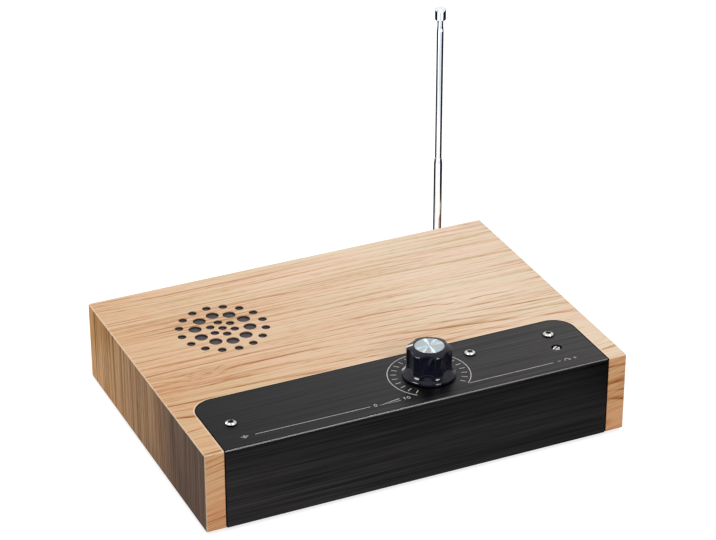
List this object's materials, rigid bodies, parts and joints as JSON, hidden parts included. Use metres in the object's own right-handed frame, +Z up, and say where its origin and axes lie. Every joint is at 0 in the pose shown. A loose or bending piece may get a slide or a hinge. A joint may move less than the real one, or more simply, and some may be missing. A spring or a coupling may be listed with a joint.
{
  "type": "theremin",
  "caption": "Tabletop theremin: flat wooden case with bent black control panel, fluted volume knob, round-hole loudspeaker grille and a hinged telescopic antenna behind.",
  "frame": {"origin": "on the table, in the middle of all that the instrument covers with its antenna upright and as far out as at rest", "axes": "+X to the player's right, +Y away from the player to the back, +Z up"},
  "size_m": [0.25, 0.1912, 0.188],
  "materials": {
    "veneer": "light straight-grained veneer, satin lacquer",
    "hardboard": "brown hardboard, smooth side out",
    "softwood": "planed softwood",
    "rubber": "matte black rubber",
    "black_sheet": "brushed sheet, black anodised",
    "nickel": "bright nickel plate",
    "knob_plastic": "gloss black moulding",
    "spun_aluminium": "spun with fine concentric lines",
    "brass": "turned brass",
    "steel": "zinc-plated steel",
    "trimmer_metal": "bright turned metal",
    "dark_plastic": "moulded black plastic",
    "circuit_laminate": "green solder mask",
    "can_metal": "drawn screening cans",
    "component_plastic": "sleeved and dipped components",
    "grille_fabric": "dark woven loudspeaker cloth",
    "gasket_card": "pressed card",
    "ferrite": "dark sintered ferrite",
    "cone_paper": "black pressed paper",
    "surround_rubber": "soft black rubber",
    "battery_jacket": "plain grey jacket",
    "antenna_chrome": "bright chrome plate",
    "wire_plastic": "flexible insulation"
  },
  "bodies": {
    "case": {"top_board": "veneer", "front_board": "veneer", "back_board": "veneer", "left_board": "veneer", "right_board": "veneer", "base_board": "hardboard", "corner_blocks": "softwood", "base_screws": "nickel", "feet": "rubber", "control_panel": "black_sheet", "spacer_screws": "nickel", "ground_screw": "nickel", "ground_nut": "nickel", "washers": "nickel", "ring_lugs": "nickel", "pot_body": "steel", "pot_bushing": "brass", "pot_washer": "nickel", "pot_nut": "nickel", "pot_terminals": "nickel", "switch_housing": "dark_plastic", "circuit_board": "circuit_laminate", "spacers": "brass", "trimmer_base": "dark_plastic", "oscillator_coils": "can_metal", "chips": "dark_plastic", "board_components": "component_plastic", "grille_cloth": "grille_fabric", "speaker_gasket": "gasket_card", "speaker_basket": "steel", "speaker_magnet": "ferrite", "speaker_yoke": "steel", "speaker_surround": "surround_rubber", "speaker_spider": "cone_paper", "speaker_terminals": "circuit_laminate", "speaker_clamps": "steel", "clamp_screws": "nickel", "battery": "battery_jacket", "battery_snap": "dark_plastic", "battery_clip": "steel", "antenna_mount": "antenna_chrome", "antenna_screw": "nickel", "supply_leads": "wire_plastic", "signal_leads": "wire_plastic"},
    "volume_knob": {"knob_body": "knob_plastic", "knob_insert": "brass", "knob_set_screw": "steel", "knob_cap": "spun_aluminium", "pot_shaft": "steel"},
    "trimmer_rotor": {"trimmer_rotor": "trimmer_metal"},
    "speaker_cone": {"speaker_cone": "cone_paper"},
    "antenna_fork": {"antenna_fork": "antenna_chrome", "elbow_pin": "antenna_chrome"},
    "antenna_lower": {"antenna_knuckle": "antenna_chrome", "antenna_tube_1": "antenna_chrome"},
    "antenna_upper": {"antenna_tube_2": "antenna_chrome"},
    "antenna_third": {"antenna_tube_3": "antenna_chrome"},
    "antenna_fourth": {"antenna_rod": "antenna_chrome", "antenna_tip": "antenna_chrome"}
  },
  "joints": [
    {"name": "volume", "type": "hinge", "parent": "case", "child": "volume_knob", "pos_m": [0.0166, -0.06955, 0.0494], "axis": [0, 0, -1], "range_deg": [-78, 198]},
    {"name": "adjust", "type": "hinge", "parent": "case", "child": "trimmer_rotor", "pos_m": [0.0935, -0.0728, 0.0494], "axis": [0, 0, -1], "continuous": true},
    {"name": "cone_stroke", "type": "slide", "parent": "case", "child": "speaker_cone", "axis": [0, 0, 1], "range_m": [-0.0008, 0.0008], "stiffness_N_per_m": 800, "deforming": ["speaker_surround", "speaker_spider"]},
    {"name": "antenna_turn", "type": "hinge", "parent": "case", "child": "antenna_fork", "pos_m": [0.1012, 0.08245, 0.009], "axis": [0, 1, 0], "range_deg": [-90, 90]},
    {"name": "antenna_fold", "type": "hinge", "parent": "antenna_fork", "child": "antenna_lower", "pos_m": [0.1012, 0.09195, 0.009], "axis": [-1, 0, 0], "range_deg": [0, 90]},
    {"name": "antenna_draw_upper", "type": "slide", "parent": "antenna_lower", "child": "antenna_upper", "axis": [0, 0, 1], "range_m": [-0.067, 0]},
    {"name": "antenna_draw_third", "type": "slide", "parent": "antenna_upper", "child": "antenna_third", "axis": [0, 0, 1], "range_m": [0, 0.0846]},
    {"name": "antenna_draw_fourth", "type": "slide", "parent": "antenna_third", "child": "antenna_fourth", "axis": [0, 0, 1], "range_m": [0, 0.0841]}
  ]
}
